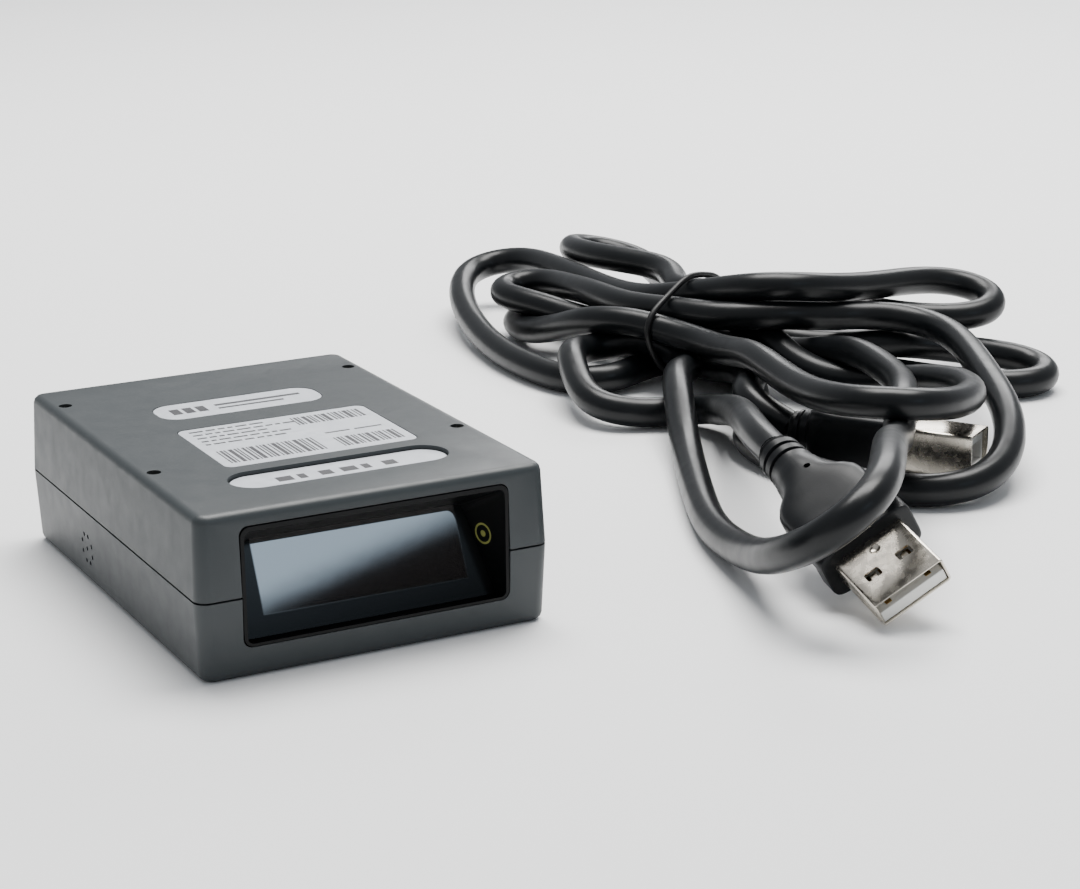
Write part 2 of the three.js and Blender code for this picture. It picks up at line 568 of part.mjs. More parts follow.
const across = ([width, height], inset, ys) => box(
  [-width / 2 + inset, width / 2 - inset], ys, [-height / 2 + inset, height / 2 - inset]);

function plugShell(plug) {
  return onPlug(plug, cut(across(plug.shell, 0, [-plug.depth - 3, 0]),
    [across(plug.shell, plug.wall, [-plug.depth - 2.6, 1])]));
}

function plugGrip(plug) {
  const { grip: [width, height], gripLength, depth, boot, bootLength } = plug;
  const back = depth + gripLength;
  const body = plate([-width / 2, width / 2], [-height / 2, height / 2], [depth, back], 2, 4)
    .rotateX(Math.PI / 2);
  const sleeve = rod('y', [0, 0, 0], -back - bootLength, 1 - back, boot, 20);
  const pocket = across(plug.shell, -GAP, [-depth - 3 - GAP, 1]);
  return onPlug(plug, cut(join(body, [sleeve]), [pocket]));
}

const usbTongue = () => onPlug(USB_A, box([-5.25, 5.25], [-USB_A.depth - 2.3, -0.6], [-1.6, 0.2]));

function usbBInsert() {
  const { shell, depth, wall } = USB_B;
  const body = across(shell, wall + GAP / 2, [-depth - 2.3, -0.8]);
  return onPlug(USB_B, cut(body, [box([-2.9, 2.9], [-depth + 3, 1], [-1.7, 1.7])]));
}

// ---- Building it up --------------------------------------------------------------------------------

add('upper_shell', upperShell(), casing);
add('lower_shell', lowerShell(), casing);
add('name_plate', plate(NAME_PLATE.xs, NAME_PLATE.ys, LABEL_ZS, NAME_PLATE.radius), silverLabel);
add('data_label', plate(DATA_LABEL.xs, DATA_LABEL.ys, LABEL_ZS, DATA_LABEL.radius), silverLabel);
add('slot_label', plate(
  [SLOT.xs[0] + GAP, SLOT.xs[1] - GAP], [SLOT.ys[0] + GAP, SLOT.ys[1] - GAP],
  [HEIGHT - SLOT.depth, HEIGHT - SLOT.depth + LABEL_THICKNESS], SLOT_RADIUS - GAP, 6,
), silverLabel);
fourPlaces(MOUNT_HOLES, (x, y, n) => add(`mount_insert_${n}`, insert().translate(x, y, 0), brass));
fourPlaces(CASE_SCREWS, (x, y, n) =>
  add(`case_screw_${n}`, screw(SCREW, CASE_SCREWS.length).translate(x, y, GAP), steel));

add('window_hood', windowHood(), blackPlastic);
add('window_pane', pane(), darkGlass);
add('window_mask', paneMask(), blackPlastic);

add('main_board', mainBoard(), circuitBoard);
BOARD_PADS.forEach(([x, y], i) => add(`board_screw_${i + 1}`,
  screwDown(BOARD_SCREW, BOARD_SCREW.length + 1).translate(x, y, PART_Z + BOARD_SCREW.headHeight), steel));
add('usb_socket_shell', usbSocketShell(), nickel);
add('usb_socket_insert', usbSocketInsert(), whitePlastic);
add('buzzer', buzzer(), chipBlack);
add('decoder_chip', chip([-11, 13.5], [10, 10, 1.4]), chipBlack);
add('memory_chip', chip([8, 14], [5, 6, 1.2]), chipBlack);
add('usb_chip', chip([-12, 25], [5, 5, 1]), chipBlack);
add('crystal', chip([1, 18], [5, 3.2, 1.1]), steel);
[[15, 20.5], [15, 12]].forEach((place, i) => add(`capacitor_${i + 1}`, capacitor(place), chipBlack));
add('board_ribbon_socket', chip([0, 6.2], [11, 4, 1.6]), whitePlastic);

const engineTop = ENGINE_BOARD.low + ENGINE_BOARD.thickness;
add('engine_chassis', engineChassis(), castZinc);
add('engine_board', plate([-ENGINE_BOARD.halfWidth, ENGINE_BOARD.halfWidth],
  [ENGINE_BOARD.front, ENGINE_BOARD.back], [ENGINE_BOARD.low, engineTop], 1, 3), circuitBoard);
add('engine_ribbon_socket', chip([0, -8], [11, 4, 1.6], engineTop + GAP), whitePlastic);
add('laser_driver_chip', chip([9, -16], [6, 5, 1.1], engineTop + GAP), chipBlack);
add('ribbon_cable', ribbon(), polyimide);
ENGINE_SCREWS.forEach(([x, y], i) => add(`engine_screw_${i + 1}`,
  screwDown(BOARD_SCREW, BOARD_SCREW.length + 1.4)
    .translate(x, y, CHASSIS.floor + GAP + BOARD_SCREW.headHeight), steel));
add('laser_barrel', laserBarrel(), brass);
add('laser_diode', laserDiode(), steel);
add('collimator_lens', onBeam(lens(1.95, 0.5, 0.5), 7.6), clearGlass);
add('collector_lens', lens(4, 0.8, 0.7).rotateX(-Math.PI / 2).translate(LIGHT_X, -23.6, OPTIC_Z), clearGlass);
add('light_filter', box([LIGHT_X - 3, LIGHT_X + 3], [-18.6, -17.8], [9.6, 15.6]), redGlass);
add('photodiode', box([LIGHT_X - 2, LIGHT_X + 2], [-16.4, -14.8], [10.4, 14.8]), chipBlack);
add('pivot_post', rod('z', [...PIVOT, 0], 6.7, 17.2, MIRROR.post, 16), steel);
add('scan_mirror', scanMirror(), mirrorGlass);
add('mirror_carrier', mirrorCarrier(), blackPlastic);
add('drive_magnet', driveMagnet(), magnetBlack);
add('drive_coil', driveCoil(), copper);
add('coil_core', coilCore(), steel);

add('lead_hank', leadHank(), cordBlack);
add('lead_front_loop', tube(FRONT_LOOP), cordBlack);
add('lead_side_loop', tube(SIDE_LOOP), cordBlack);
add('lead_usb_a_run', tube(A_RUN), cordBlack);
add('lead_usb_b_run', tube(B_RUN), cordBlack);
add('lead_tie', leadTie(), cordBlack);
add('usb_a_grip', plugGrip(USB_A), cordBlack);
add('usb_a_shell', plugShell(USB_A), nickel);
add('usb_a_tongue', usbTongue(), whitePlastic);
add('usb_b_grip', plugGrip(USB_B), cordBlack);
add('usb_b_shell', plugShell(USB_B), nickel);
add('usb_b_insert', usbBInsert(), whitePlastic);

export default scanner;
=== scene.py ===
"""Looks for the fixed-mount laser scanner and its USB lead.

Lengths of the object are in millimetres, times MM. The camera, the lights and the floor are in metres.
"""
import json
import math

import bmesh
import bpy
import numpy as np
from mathutils import Matrix, Vector
from mathutils.bvhtree import BVHTree


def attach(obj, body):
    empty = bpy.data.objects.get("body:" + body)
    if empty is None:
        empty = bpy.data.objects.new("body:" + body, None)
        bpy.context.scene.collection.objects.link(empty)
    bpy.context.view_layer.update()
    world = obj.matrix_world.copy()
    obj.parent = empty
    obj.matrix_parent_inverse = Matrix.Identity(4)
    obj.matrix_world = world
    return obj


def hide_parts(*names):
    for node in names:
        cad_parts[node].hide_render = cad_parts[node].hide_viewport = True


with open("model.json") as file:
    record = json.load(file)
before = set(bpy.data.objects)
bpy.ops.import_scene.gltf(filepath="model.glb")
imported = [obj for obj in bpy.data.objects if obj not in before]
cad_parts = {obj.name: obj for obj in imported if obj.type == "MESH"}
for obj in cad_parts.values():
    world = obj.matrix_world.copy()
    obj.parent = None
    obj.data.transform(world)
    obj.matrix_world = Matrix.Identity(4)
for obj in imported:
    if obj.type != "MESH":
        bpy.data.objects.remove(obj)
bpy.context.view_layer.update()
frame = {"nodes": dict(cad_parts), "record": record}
MM = 0.001
NODES = frame["nodes"]


# ---- Camera, light and floor -------------------------------------------------------------------

def add_camera():
    """The viewing angle: its place in metres, and the directions of its right, up and back."""
    data = bpy.data.cameras.new("camera")
    data.lens = 85.18
    data.sensor_width = 36
    data.clip_start = 0.01
    camera = bpy.data.objects.new("camera", data)
    bpy.context.scene.collection.objects.link(camera)
    right = Vector((0.8834, -0.46852, -0.00996))
    up = Vector((0.14146, 0.24634, 0.9588))
    back = -Vector((0.44676, 0.84841, -0.28389))
    place = Matrix((right, up, back)).transposed().to_4x4()
    place.translation = Vector((-0.13728, -0.34663, 0.13041))
    camera.matrix_world = place
    bpy.context.scene.camera = camera
    return place.translation


def add_area(name, place, target, size, power, colour=(1, 1, 1)):
    """A rectangular lamp at `place`, aimed at `target`."""
    data = bpy.data.lights.new(name, "AREA")
    data.shape = "RECTANGLE"
    data.size, data.size_y = size
    data.energy = power
    data.color = colour
    lamp = bpy.data.objects.new(name, data)
    bpy.context.scene.collection.objects.link(lamp)
    lamp.location = place
    lamp.rotation_euler = (Vector(target) - Vector(place)).to_track_quat("-Z", "Y").to_euler()


def add_sky(colour, strength):
    world = bpy.data.worlds.new("studio")
    bpy.context.scene.world = world
    world.use_nodes = True
    background = world.node_tree.nodes["Background"]
    background.inputs["Color"].default_value = colour
    background.inputs["Strength"].default_value = strength


CAMERA = add_camera()
add_sky((0.93, 0.96, 1, 1), 0.47)
add_area("overhead", (0.26, 0.25, 0.9), (0.05, 0.02, 0), (0.8, 0.5), 21.5, (1, 0.99, 0.97))
add_area("left", (-0.9, -0.2, 0.45), (0.02, 0, 0), (0.4, 0.6), 0.1)
add_area("back_right", (0.7, 0.7, 0.5), (0.08, 0, 0), (0.5, 0.3), 4.0)


# ---- Materials: every one is procedural, in object space -----------------------------------------

NOISE_LOW, NOISE_HIGH = 0.3, 0.7                   # nearly all of a noise texture lies between these


class Look:
    """A Principled surface with uneven colour, uneven roughness and a fine relief."""

    def __init__(self, name, colour, rough, metal=0.0, specular=0.5, coat=0.0):
        self.material = bpy.data.materials.new(name)
        self.material.use_nodes = True
        self.tree = self.material.node_tree
        self.surface = self.tree.nodes["Principled BSDF"]
        self.colour = (*colour, 1)
        self.rough = rough
        self.put("Base Color", self.colour)
        self.put("Roughness", rough)
        self.put("Metallic", metal)
        self.put("Specular IOR Level", specular)
        self.put("Coat Weight", coat)
        self.space = self.node("ShaderNodeTexCoord").outputs["Object"]

    def node(self, kind, **values):
        made = self.tree.nodes.new(kind)
        for key, value in values.items():
            setattr(made, key, value)
        return made

    def join(self, source, target):
        self.tree.links.new(source, target)

    def put(self, name, value):
        self.surface.inputs[name].default_value = value

    def noise(self, scale, detail=3.0, stretch=None):
        made = self.node("ShaderNodeTexNoise")
        made.inputs["Scale"].default_value = scale
        made.inputs["Detail"].default_value = detail
        source = self.space
        if stretch:
            mapping = self.node("ShaderNodeMapping")
            mapping.inputs["Scale"].default_value = stretch
            self.join(source, mapping.inputs["Vector"])
            source = mapping.outputs["Vector"]
        self.join(source, made.inputs["Vector"])
        return made.outputs["Fac"]

    def ranged(self, source, start, end, low, high, **values):
        """A value that goes from `low` to `high` while the source goes from `start` to `end`."""
        made = self.node("ShaderNodeMapRange", **values)
        for name, value in (("From Min", start), ("From Max", end), ("To Min", low), ("To Max", high)):
            made.inputs[name].default_value = value
        self.join(source, made.inputs["Value"])
        return made.outputs["Result"]

    def uneven(self, amount=0.12, patch=90, rough_amount=0.06, rough_patch=260, stretch=None):
        """Colour that varies by `amount` of itself, and roughness by `rough_amount`, in patches."""
        mix = self.node("ShaderNodeMix", data_type="RGBA")
        for name, share in (("A", 1 - amount), ("B", 1 + amount)):
            mix.inputs[name].default_value = (*(min(1, c * share) for c in self.colour[:3]), 1)
        self.join(self.noise(patch, 4, stretch), mix.inputs["Factor"])
        self.join(mix.outputs["Result"], self.surface.inputs["Base Color"])
        rough = self.ranged(self.noise(rough_patch, 3, stretch), NOISE_LOW, NOISE_HIGH,
                            self.rough - rough_amount, self.rough + rough_amount)
        self.join(rough, self.surface.inputs["Roughness"])
        return self

    def relief(self, scale, depth_mm, detail=2.0, stretch=None):
        """A surface with fine bumps of this depth."""
        bump = self.node("ShaderNodeBump")
        bump.inputs["Strength"].default_value = 1
        bump.inputs["Distance"].default_value = depth_mm * MM
        self.join(self.noise(scale, detail, stretch), bump.inputs["Height"])
        self.join(bump.outputs["Normal"], self.surface.inputs["Normal"])
        return self


def look(name, colour, rough, metal=0.0, uneven=(), relief=(), **extra):
    """`uneven` and `relief` are the values of Look.uneven and Look.relief, in their order."""
    made = Look(name, colour, rough, metal, **extra)
    made.uneven(*uneven)
    if relief:
        made.relief(*relief)
    return made.material


# The clear middle of the window, inside its printed border; `edge` is half the width of the change.
PANE_CLEAR = {"half_width": 15.8, "low": 7.2, "high": 17.2, "edge": 0.12}


def dark_pane():
    """Tinted glass: polished in the clear middle, satin where the black border is printed."""
    made = Look("dark_glass", (0.006, 0.008, 0.011), 0.03, specular=0.75, coat=0.6)
    split = made.node("ShaderNodeSeparateXYZ")
    made.join(made.space, split.inputs["Vector"])
    across = made.node("ShaderNodeMath", operation="ABSOLUTE")
    made.join(split.outputs["X"], across.inputs[0])
    product = None
    for source, edge, way in ((across.outputs[0], PANE_CLEAR["half_width"], -1),
                              (split.outputs["Z"], PANE_CLEAR["low"], 1),
                              (split.outputs["Z"], PANE_CLEAR["high"], -1)):
        reach = way * PANE_CLEAR["edge"]
        inside = made.ranged(source, (edge - reach) * MM, (edge + reach) * MM, 0, 1)
        if product is not None:
            times = made.node("ShaderNodeMath", operation="MULTIPLY")
            made.join(product, times.inputs[0])
            made.join(inside, times.inputs[1])
            inside = times.outputs[0]
        product = inside
    tint = made.node("ShaderNodeMix", data_type="RGBA")
    tint.inputs["A"].default_value = (0.004, 0.0045, 0.005, 1)
    tint.inputs["B"].default_value = (0.016, 0.0145, 0.014, 1)
    made.join(product, tint.inputs["Factor"])
    made.join(tint.outputs["Result"], made.surface.inputs["Base Color"])
    for name, border, clear in (("Roughness", 0.16, 0.035), ("Coat Weight", 0.0, 0.9),
                                ("Specular IOR Level", 0.13, 0.8)):
        made.join(made.ranged(product, 0, 1, border, clear), made.surface.inputs[name])
    made.put("Coat Roughness", 0.03)
    return made.relief(160, 0.004).material


LOOKS = {
    "casing": look("casing", (0.0292, 0.0352, 0.0382), 0.44, 0, (0.08, 60, 0.04, 300), (5200, 0.01, 3),
                   specular=0.4),
    "hood_black": look("hood_black", (0.0024, 0.0027, 0.0031), 0.38, 0, (0.2, 90, 0.05), (4200, 0.004),
                       specular=0.14),
    "dark_glass": dark_pane(),
    "label_silver": look("label_silver", (0.62, 0.645, 0.69), 0.36, 0.25, (0.035, 240, 0.06, 700),
                         (2600, 0.003, 2, (1, 0.05, 1))),
    "ink": look("ink", (0.03, 0.03, 0.035), 0.5, 0, (0.3, 1500, 0.08)),
    "mark_olive": look("mark_olive", (0.22, 0.23, 0.055), 0.5, 0, (0.25, 900, 0.08)),
    "brass": look("brass", (0.62, 0.44, 0.19), 0.3, 1, (0.12, 300, 0.08, 900), (3000, 0.004)),
    "steel": look("steel", (0.5, 0.51, 0.52), 0.28, 1, (0.08, 300, 0.08, 900), (2500, 0.004)),
    "nickel": look("nickel", (0.6, 0.57, 0.51), 0.24, 1, (0.06, 160, 0.06, 700), (1500, 0.003)),
    "circuit_board": look("circuit_board", (0.02, 0.11, 0.05), 0.35, 0, (0.3, 500, 0.1), (900, 0.01)),
    "chip_black": look("chip_black", (0.022, 0.022, 0.024), 0.55, 0, (0.2, 500, 0.08), (5000, 0.01)),
    "cast_zinc": look("cast_zinc", (0.4, 0.41, 0.43), 0.5, 1, (0.15, 200, 0.1), (1500, 0.03)),
    "mirror_face": look("mirror_face", (0.9, 0.91, 0.93), 0.04, 1, (0.02, 300, 0.02)),
    "clear_glass": look("clear_glass", (0.7, 0.8, 0.85), 0.05, 0, (0.03, 300, 0.02), specular=0.8),
    "red_glass": look("red_glass", (0.3, 0.015, 0.015), 0.08, 0, (0.1, 300, 0.02), specular=0.7),
    "magnet": look("magnet", (0.12, 0.12, 0.125), 0.4, 0.8, (0.1, 300, 0.08)),
    "copper": look("copper", (0.55, 0.22, 0.09), 0.35, 0.9, (0.2, 400, 0.08),
                   (1800, 0.05, 1, (0.1, 1, 1))),
    "white_plastic": look("white_plastic", (0.74, 0.735, 0.7), 0.4, 0, (0.04, 300, 0.06), (3000, 0.004)),
    "contact_gold": look("contact_gold", (0.42, 0.28, 0.12), 0.3, 1, (0.15, 900, 0.08)),
    "polyimide": look("polyimide", (0.5, 0.24, 0.07), 0.25, 0, (0.12, 300, 0.05)),
    "cord_black": look("cord_black", (0.004, 0.0048, 0.0057), 0.32, 0, (0.2, 120, 0.04, 320),
                       (3200, 0.004, 3), specular=0.25),
    "tie_black": look("tie_black", (0.005, 0.005, 0.0055), 0.42, 0, (0.2, 300, 0.06), (2500, 0.01),
                      specular=0.3),
    "plug_black": look("plug_black", (0.0048, 0.0056, 0.0068), 0.38, 0, (0.18, 200, 0.06),
                       (4200, 0.012, 3), specular=0.23),
    "plug_shell": look("plug_shell", (0.62, 0.575, 0.5), 0.26, 1, (0.08, 190, 0.05, 650),
                       (1500, 0.0012, 3), specular=0.5),
}

SLOT_OF = {part["node"]: part["material_slot"] for part in frame["record"]["subparts"]}


def paint(thing, name):
    """Gives a thing one look, in place of any it had."""
    thing.data.materials.clear()
    thing.data.materials.append(LOOKS[name])


for node, thing in NODES.items():
    paint(thing, SLOT_OF[node])


def stage_sheet(name, half_width, half_depth, upright, material):
    """A flat rectangle that isn't part of the object: the floor, or a light the window mirrors."""
    corners = [(-half_width, -half_depth), (half_width, -half_depth), (half_width, half_depth),
               (-half_width, half_depth)]
    mesh = bpy.data.meshes.new(name)
    mesh.from_pydata([(x, 0, d) if upright else (x, d, 0) for x, d in corners], [], [(0, 1, 2, 3)])
    sheet = bpy.data.objects.new(name, mesh)
    bpy.context.scene.collection.objects.link(sheet)
    sheet.data.materials.append(material)
    return sheet


floor = stage_sheet("floor", 3, 3, False, look("floor", (0.9, 0.905, 0.91), 0.7, 0, (0.01, 12, 0.03)))
floor.location.z = -0.02 * MM                      # so that nothing lies in the floor's own plane


# ---- Pieces --------------------------------------------------------------------------------------

def piece(name, mesh, slot, body="scanner", smooth=35, bevel=0.0, replaces=(), ink=None):
    """A visible piece: shaded smooth where it curves, with its edges taken off by `bevel` mm."""
    made = bpy.data.objects.new(name, mesh)
    bpy.context.scene.collection.objects.link(made)
    mesh.polygons.foreach_set("use_smooth", [True] * len(mesh.polygons))
    mesh.set_sharp_from_angle(angle=math.radians(smooth))
    if bevel:
        edge = made.modifiers.new("edges", "BEVEL")
        edge.width = bevel * MM
        edge.segments = 2
        edge.limit_method = "ANGLE"
        edge.angle_limit = math.radians(smooth)
        edge.use_clamp_overlap = True
    paint(made, ink or slot)
    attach(made, body)
    if replaces:
        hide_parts(*replaces)
    return made


def mesh_of(name, points, faces):
    """A new mesh from points in metres and faces given by the points' numbers."""
    mesh = bpy.data.meshes.new(name)
    mesh.from_pydata([tuple(p) for p in points], [], [tuple(f) for f in faces])
    mesh.update()
    return mesh


def welded(node):
    """The CAD node's own shape as one clean mesh."""
    source = bmesh.new()
    source.from_mesh(NODES[node].data)
    bmesh.ops.remove_doubles(source, verts=source.verts, dist=1e-6)
    bmesh.ops.dissolve_limit(source, angle_limit=math.radians(0.5), verts=source.verts,
                             edges=source.edges)
    source.verts.index_update()
    points = [v.co.copy() for v in source.verts]
    faces = [[v.index for v in f.verts] for f in source.faces]
    source.free()
    return mesh_of(node + "_look", points, faces)


def skin(node, bevel):
    """A piece in the CAD node's own shape, in the node's place."""
    return piece(node + "_look", welded(node), SLOT_OF[node], bevel=bevel, replaces=[node])


def loft(name, rings, place):
    """Rings of equal point counts joined into a closed skin, then put at `place` (a 4x4 matrix)."""
    n = len(rings[0])
    points = [place @ (Vector(p) * MM) for ring in rings for p in ring]
    faces = [(i * n + k, i * n + (k + 1) % n, (i + 1) * n + (k + 1) % n, (i + 1) * n + k)
             for i in range(len(rings) - 1) for k in range(n)]
    faces += [tuple(range(n))[::-1], tuple(range((len(rings) - 1) * n, len(rings) * n))]
    mesh = mesh_of(name, points, faces)
    outward = bmesh.new()
    outward.from_mesh(mesh)
    bmesh.ops.recalc_face_normals(outward, faces=outward.faces)
    outward.to_mesh(mesh)
    outward.free()
    return mesh


def oval(y, half_width, half_height, power=2.0, count=64):
    """A ring at `y`: an ellipse for a power of 2, more like a rectangle for a higher one."""
    ring = []
    for k in range(count):
        turn = 2 * math.pi * (k + 0.5) / count
        c, s = math.cos(turn), math.sin(turn)
        ring.append((half_width * math.copysign(abs(c) ** (2 / power), c), y,
                     half_height * math.copysign(abs(s) ** (2 / power), s)))
    return ring


def rounded(y, half_width, half_height, radius, steps=6):
    """A ring at `y`: a rectangle with round corners."""
    ring = []
    for quarter, (sx, sz) in enumerate(((1, 1), (-1, 1), (-1, -1), (1, -1))):
        for k in range(steps + 1):
            turn = math.pi / 2 * (quarter + k / steps)
            ring.append((sx * (half_width - radius) + radius * math.cos(turn), y,
                         sz * (half_height - radius) + radius * math.sin(turn)))
    return ring


def bar(xs, ys, zs):
    points = [(x, y, z) for x in xs for y in ys for z in zs]
    faces = [(0, 1, 3, 2), (4, 6, 7, 5), (0, 4, 5, 1), (2, 3, 7, 6), (0, 2, 6, 4), (1, 5, 7, 3)]
    return points, faces


def bars(name, boxes, place=Matrix.Identity(4)):
    """One mesh of plain boxes, each given by its low and high x, y and z."""
    points = []
    faces = []
    for xs, ys, zs in boxes:
        p, f = bar(xs, ys, zs)
        faces += [[i + len(points) for i in face] for face in f]
        points += [place @ (Vector(q) * MM) for q in p]
    return mesh_of(name, points, faces)


def carve(thing, cutters):
    """Takes the cutter meshes out of a piece's mesh for good."""
    for mesh in cutters:
        cutter = bpy.data.objects.new("cutter", mesh)
        bpy.context.scene.collection.objects.link(cutter)
        cut = thing.modifiers.new("cut", "BOOLEAN")
        cut.operation = "DIFFERENCE"
        cut.object = cutter
        cut.solver = "EXACT"
        bpy.context.view_layer.update()
        shape = thing.evaluated_get(bpy.context.evaluated_depsgraph_get())
        result = bpy.data.meshes.new_from_object(shape)
        thing.modifiers.remove(cut)
        thing.data = result
        bpy.data.objects.remove(cutter)


# ---- The lead --------------------------------------------------------------------------------------

CORD = 5.5                                         # diameters of the cord and of the tie
TIE_THICKNESS = 1.2
TIE = Vector((115, 69, 0))
ALONG = Vector((0.39, -0.92, 0)).normalized()      # along the bundle, to the right
ACROSS = Vector((0.92, 0.39, 0)).normalized()
BUNDLE = 17                                        # no run in the tie is further across than this
PASSES = {                                         # each run in the tie: how far across, and how high
    "b1": (-7, 4), "b3": (0, 4), "b4": (5.6, 4), "b5": (11.2, 4),
    "m1": (-8.4, 8.8), "m2": (-2.8, 8.8), "m3": (2.8, 8.8), "m4": (8.4, 8.8),
    "t1": (0, 13.8), "t2": (-5.6, 13.6), "t3": (5.6, 13.6)}
# The centre line from the square plug to the flat plug: folds, and the tie passes between them
# (< goes through the tie to the left, > to the right).
ROUTE = [
    [(102.3, 12.9, 5.7), (101.1, 15.1, 6), (100.3, 19, 8.3), (103, 25, 9.4), (109.5, 37, 9.2)], "<b3",
    [(93, 63, 2.8), (88, 75, 2.8), (87, 94, 3), (91, 117, 4.5), (98, 136, 7), (109, 149, 9),
     (116, 140, 10.5), (115, 121, 11.5), (113, 99, 12)], ">t1",
    [(118, 53, 13), (127, 49, 14), (143, 52, 15), (154, 55, 16), (165, 57, 16), (173, 53, 15),
     (174.5, 46, 13.5), (168, 41.5, 12.3), (156, 47, 12), (147, 58, 12.7), (137, 66, 13.5)], "<t3",
    [(126, 94, 15), (120.5, 109, 15.6), (119.5, 123, 14.8), (123.5, 135, 13.6), (131, 138, 12),
     (137.5, 131, 10.4), (135.5, 118, 9.2), (129.5, 105, 8.5)], ">m4",
    [(131, 54, 7), (144, 46, 6), (160, 41, 5), (172, 36, 4), (173, 28, 3), (162, 23, 2.8),
     (151, 34, 2.8), (143, 51, 2.8), (136, 62, 2.8)], "<b5",
    [(121.5, 88, 2.8), (120, 105, 2.8), (120.5, 118, 2.8), (126, 125, 3), (132.5, 121, 3.6),
     (132, 109, 4.6), (126, 97, 6.4)], ">m3",
    [(124, 43, 8), (129, 31, 9), (132, 16, 11), (131, 3, 12.5), (124, -9, 13.4), (110, -19, 14.6),
     (99.5, -19, 15.4), (97.5, -5, 14.6), (102, 16, 12.4), (108, 39, 9.5)], "<m1",
    [(100, 74, 7), (98, 88, 6.5), (98, 104, 5.5), (102, 121, 4), (112, 121, 3), (113, 105, 2.8),
     (114, 87, 2.8)], ">b4",
    [(121, 56, 2.8), (115, 46, 2.8), (110, 37, 2.8), (106, 28, 2.8), (100, 18, 2.8), (96.5, 9, 2.8),
     (96, -3, 2.8), (101, -17, 2.8), (108, -23.6, 3), (115, -24.5, 3.6), (124, -19.6, 5.8),
     (132.4, -8.6, 9.2), (140, 8, 11.5), (148, 26, 12), (150, 39, 11.5), (141, 50, 11),
     (126, 51, 12)], "<t2",
    [(106, 85, 12.8), (107.5, 99, 12), (109, 109, 11.2), (109, 119, 10.4), (103.5, 125.5, 9.6),
     (97.2, 121, 9), (97, 110.5, 8.4), (101.5, 101, 7.9), (107.5, 87, 7.6)], ">m2",
    [(123, 56, 7.6), (127, 41, 8.5), (127, 24, 10), (121, 7, 11.5), (103, -17, 13.5), (90, -33, 17.6),
     (78, -49, 21), (67, -63, 21.4), (57, -69, 18.5), (56, -55, 10.5), (60, -40, 5.2), (65, -21, 2.8),
     (73, -3, 2.8), (84, 19, 3.4), (91, 33, 6.8), (96.5, 43, 8.5), (102, 51, 7.4)], "<b1",
    [(99.5, 77, 2.8), (92.5, 76, 2.8), (87.5, 67.5, 2.8), (83.5, 56, 2.8), (81.5, 48, 2.8), (84, 43, 2.8),
     (89.5, 42, 2.8), (95, 42.5, 2.8), (99.8, 40, 3.4), (100.6, 34, 4.8), (97.5, 27, 6.8),
     (93.5, 19.5, 9.2), (88, 8, 11.9), (80.5, -6, 14.8),
     (76.3, -15.5, 15.5), (75, -20, 15.4), (74.5, -23.9, 14.95)]]


def through_tie(name, way):
    """Three points of a run: just before the tie, in it, and just after it."""
    across, height = PASSES[name]
    return [TIE + ACROSS * across + ALONG * (way * side) + Vector((0, 0, height - drop))
            for side, drop in ((-8, 0.6), (0, 0), (8, 0.6))]   # how far past the tie, how much lower


def spline(knots, step):
    """A smooth line through the knots with evenly spaced points."""
    p = np.vstack([2 * knots[0] - knots[1], knots, 2 * knots[-1] - knots[-2]])
    t = np.linspace(0, 1, 8, endpoint=False)[:, None]
    runs = [0.5 * (2 * b + (c - a) * t + (2 * a - 5 * b + 4 * c - d) * t ** 2
                   + (3 * b - a - 3 * c + d) * t ** 3)
            for a, b, c, d in zip(p, p[1:], p[2:], p[3:])]
    return spaced(np.vstack(runs + [knots[-1:]]), step)


def spaced(line, step):
    """The same line with its points evenly spaced."""
    run = np.r_[0, np.cumsum(np.linalg.norm(np.diff(line, axis=0), axis=1))]
    at = np.linspace(0, run[-1], int(round(run[-1] / step)) + 1)
    return np.stack([np.interp(at, run, line[:, i]) for i in range(3)], 1)


def softened(values, times):
    """Every value drawn towards its neighbours, the ends left alone."""
    for _ in range(times):
        inner = values[1:-1] * 0.5 + (values[:-2] + values[2:]) * 0.25
        values = np.vstack([values[:1], inner, values[-1:]])
    return values


def blunted(line, radius, rounds):
    """The line with the bends opened out that are tighter than `radius`.

    A point moves towards the middle of its neighbours by a share that grows as the bend tightens. The
    share is softened, so that the points beside a tight bend move with it.
    """
    for _ in range(rounds):
        pull = np.zeros_like(line)
        pull[1:-1] = (line[:-2] + line[2:]) / 2 - line[1:-1]
        step = np.linalg.norm(np.diff(line, axis=0), axis=1).mean()
        bend = 2 * np.linalg.norm(pull, axis=1) / step ** 2
        share = np.clip(softened(np.clip((bend * radius - 1) * 2, 0, 1)[:, None], 8) * 1.3, 0, 1)
        share[:2] = share[-2:] = 0
        line = line + 0.6 * share * pull
    return line


NEIGHBOUR = 1.8       # runs are watched when they are closer than this many diameters
OWN_RUN = 2.2         # a point is never pushed by the cord next to it, up to this many diameters
APART = 1.02          # runs end up this many diameters from centre to centre
TIE_LIFT = 1.3        # the lowest runs rise this much over the tie, and come down again
TIE_RAMP = 5          # within about this distance of it


